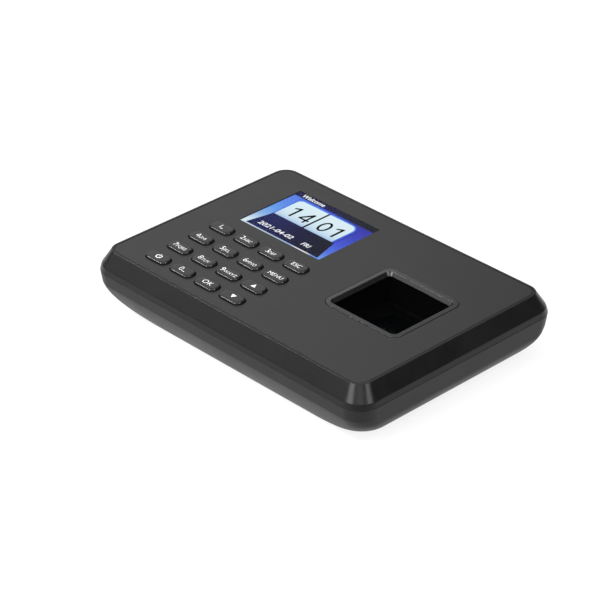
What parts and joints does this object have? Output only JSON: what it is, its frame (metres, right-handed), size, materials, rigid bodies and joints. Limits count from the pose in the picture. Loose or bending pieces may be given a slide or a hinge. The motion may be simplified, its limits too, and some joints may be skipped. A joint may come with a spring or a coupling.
{
  "type": "fingerprint time clock",
  "caption": "Black time clock with chamfered edges, a colour display, a keypad whose keys press in on rubber domes, and a deep finger well with a scanning glass at its floor.",
  "frame": {"origin": "centre of the footprint, on the plane that the rubber feet stand on", "axes": "+Z out of the face, +X to the reader's right, +Y towards the top of the display; the clock lies on its back"},
  "size_m": [0.189, 0.1334, 0.0346],
  "materials": {
    "casing": "satin black ABS with a fine moulded texture",
    "face_sheet": "satin black ABS, slightly smoother than the casing",
    "well_plastic": "deep black, smooth",
    "key_rubber": "black silicone with a satin coating and white printed legends",
    "mat_rubber": "matte black rubber",
    "lens": "clear polished acrylic",
    "screen": "lit colour display in blue and white",
    "sensor_glass": "dark polished scanning glass",
    "white_plastic": "white moulded plastic",
    "circuit_board": "green solder mask",
    "black_part": "matte black moulded component",
    "steel": "bright zinc or nickel plated steel",
    "flex": "amber polyimide film",
    "cable": "grey PVC ribbon cable",
    "cone": "pressed paper"
  },
  "bodies": {
    "casing": {"front_shell": "casing", "rear_shell": "casing", "face_panel": "face_sheet", "well_ring": "face_sheet", "well_tub": "well_plastic", "keypad_mat": "mat_rubber", "foot_front_left": "mat_rubber", "foot_front_right": "mat_rubber", "foot_back_left": "mat_rubber", "foot_back_right": "mat_rubber", "display_window": "lens", "lcd_panel": "screen", "sensor_glass": "sensor_glass", "backlight": "white_plastic", "usb_tongue": "white_plastic", "main_board": "circuit_board", "keypad_board": "circuit_board", "sensor_board": "circuit_board", "processor": "black_part", "coin_cell_holder": "black_part", "power_jack": "black_part", "sensor_housing": "black_part", "lcd_tray": "steel", "usb_shell": "steel", "coin_cell": "steel", "speaker_frame": "steel", "case_screw_front_left": "steel", "case_screw_front_right": "steel", "case_screw_back_left": "steel", "case_screw_back_right": "steel", "board_screw_front_left": "steel", "board_screw_front_right": "steel", "board_screw_back_left": "steel", "board_screw_back_right": "steel", "keypad_screw_left": "steel", "keypad_screw_right": "steel", "well_screw_front": "steel", "well_screw_back": "steel", "display_ribbon": "flex", "keypad_ribbon": "flex", "sensor_cable": "cable", "speaker_cone": "cone"},
    "key_1": {"key_1": "key_rubber"},
    "key_2": {"key_2": "key_rubber"},
    "key_3": {"key_3": "key_rubber"},
    "key_escape": {"key_escape": "key_rubber"},
    "key_4": {"key_4": "key_rubber"},
    "key_5": {"key_5": "key_rubber"},
    "key_6": {"key_6": "key_rubber"},
    "key_menu": {"key_menu": "key_rubber"},
    "key_7": {"key_7": "key_rubber"},
    "key_8": {"key_8": "key_rubber"},
    "key_9": {"key_9": "key_rubber"},
    "key_up": {"key_up": "key_rubber"},
    "key_power": {"key_power": "key_rubber"},
    "key_0": {"key_0": "key_rubber"},
    "key_ok": {"key_ok": "key_rubber"},
    "key_down": {"key_down": "key_rubber"}
  },
  "joints": [
    {"name": "key_1_press", "type": "slide", "parent": "casing", "child": "key_1", "axis": [0, 0, -1], "range_m": [0, 0.001], "stiffness_N_per_m": 1500},
    {"name": "key_2_press", "type": "slide", "parent": "casing", "child": "key_2", "axis": [0, 0, -1], "range_m": [0, 0.001], "stiffness_N_per_m": 1500},
    {"name": "key_3_press", "type": "slide", "parent": "casing", "child": "key_3", "axis": [0, 0, -1], "range_m": [0, 0.001], "stiffness_N_per_m": 1500},
    {"name": "key_escape_press", "type": "slide", "parent": "casing", "child": "key_escape", "axis": [0, 0, -1], "range_m": [0, 0.001], "stiffness_N_per_m": 1500},
    {"name": "key_4_press", "type": "slide", "parent": "casing", "child": "key_4", "axis": [0, 0, -1], "range_m": [0, 0.001], "stiffness_N_per_m": 1500},
    {"name": "key_5_press", "type": "slide", "parent": "casing", "child": "key_5", "axis": [0, 0, -1], "range_m": [0, 0.001], "stiffness_N_per_m": 1500},
    {"name": "key_6_press", "type": "slide", "parent": "casing", "child": "key_6", "axis": [0, 0, -1], "range_m": [0, 0.001], "stiffness_N_per_m": 1500},
    {"name": "key_menu_press", "type": "slide", "parent": "casing", "child": "key_menu", "axis": [0, 0, -1], "range_m": [0, 0.001], "stiffness_N_per_m": 1500},
    {"name": "key_7_press", "type": "slide", "parent": "casing", "child": "key_7", "axis": [0, 0, -1], "range_m": [0, 0.001], "stiffness_N_per_m": 1500},
    {"name": "key_8_press", "type": "slide", "parent": "casing", "child": "key_8", "axis": [0, 0, -1], "range_m": [0, 0.001], "stiffness_N_per_m": 1500},
    {"name": "key_9_press", "type": "slide", "parent": "casing", "child": "key_9", "axis": [0, 0, -1], "range_m": [0, 0.001], "stiffness_N_per_m": 1500},
    {"name": "key_up_press", "type": "slide", "parent": "casing", "child": "key_up", "axis": [0, 0, -1], "range_m": [0, 0.001], "stiffness_N_per_m": 1500},
    {"name": "key_power_press", "type": "slide", "parent": "casing", "child": "key_power", "axis": [0, 0, -1], "range_m": [0, 0.001], "stiffness_N_per_m": 1500},
    {"name": "key_0_press", "type": "slide", "parent": "casing", "child": "key_0", "axis": [0, 0, -1], "range_m": [0, 0.001], "stiffness_N_per_m": 1500},
    {"name": "key_ok_press", "type": "slide", "parent": "casing", "child": "key_ok", "axis": [0, 0, -1], "range_m": [0, 0.001], "stiffness_N_per_m": 1500},
    {"name": "key_down_press", "type": "slide", "parent": "casing", "child": "key_down", "axis": [0, 0, -1], "range_m": [0, 0.001], "stiffness_N_per_m": 1500}
  ]
}
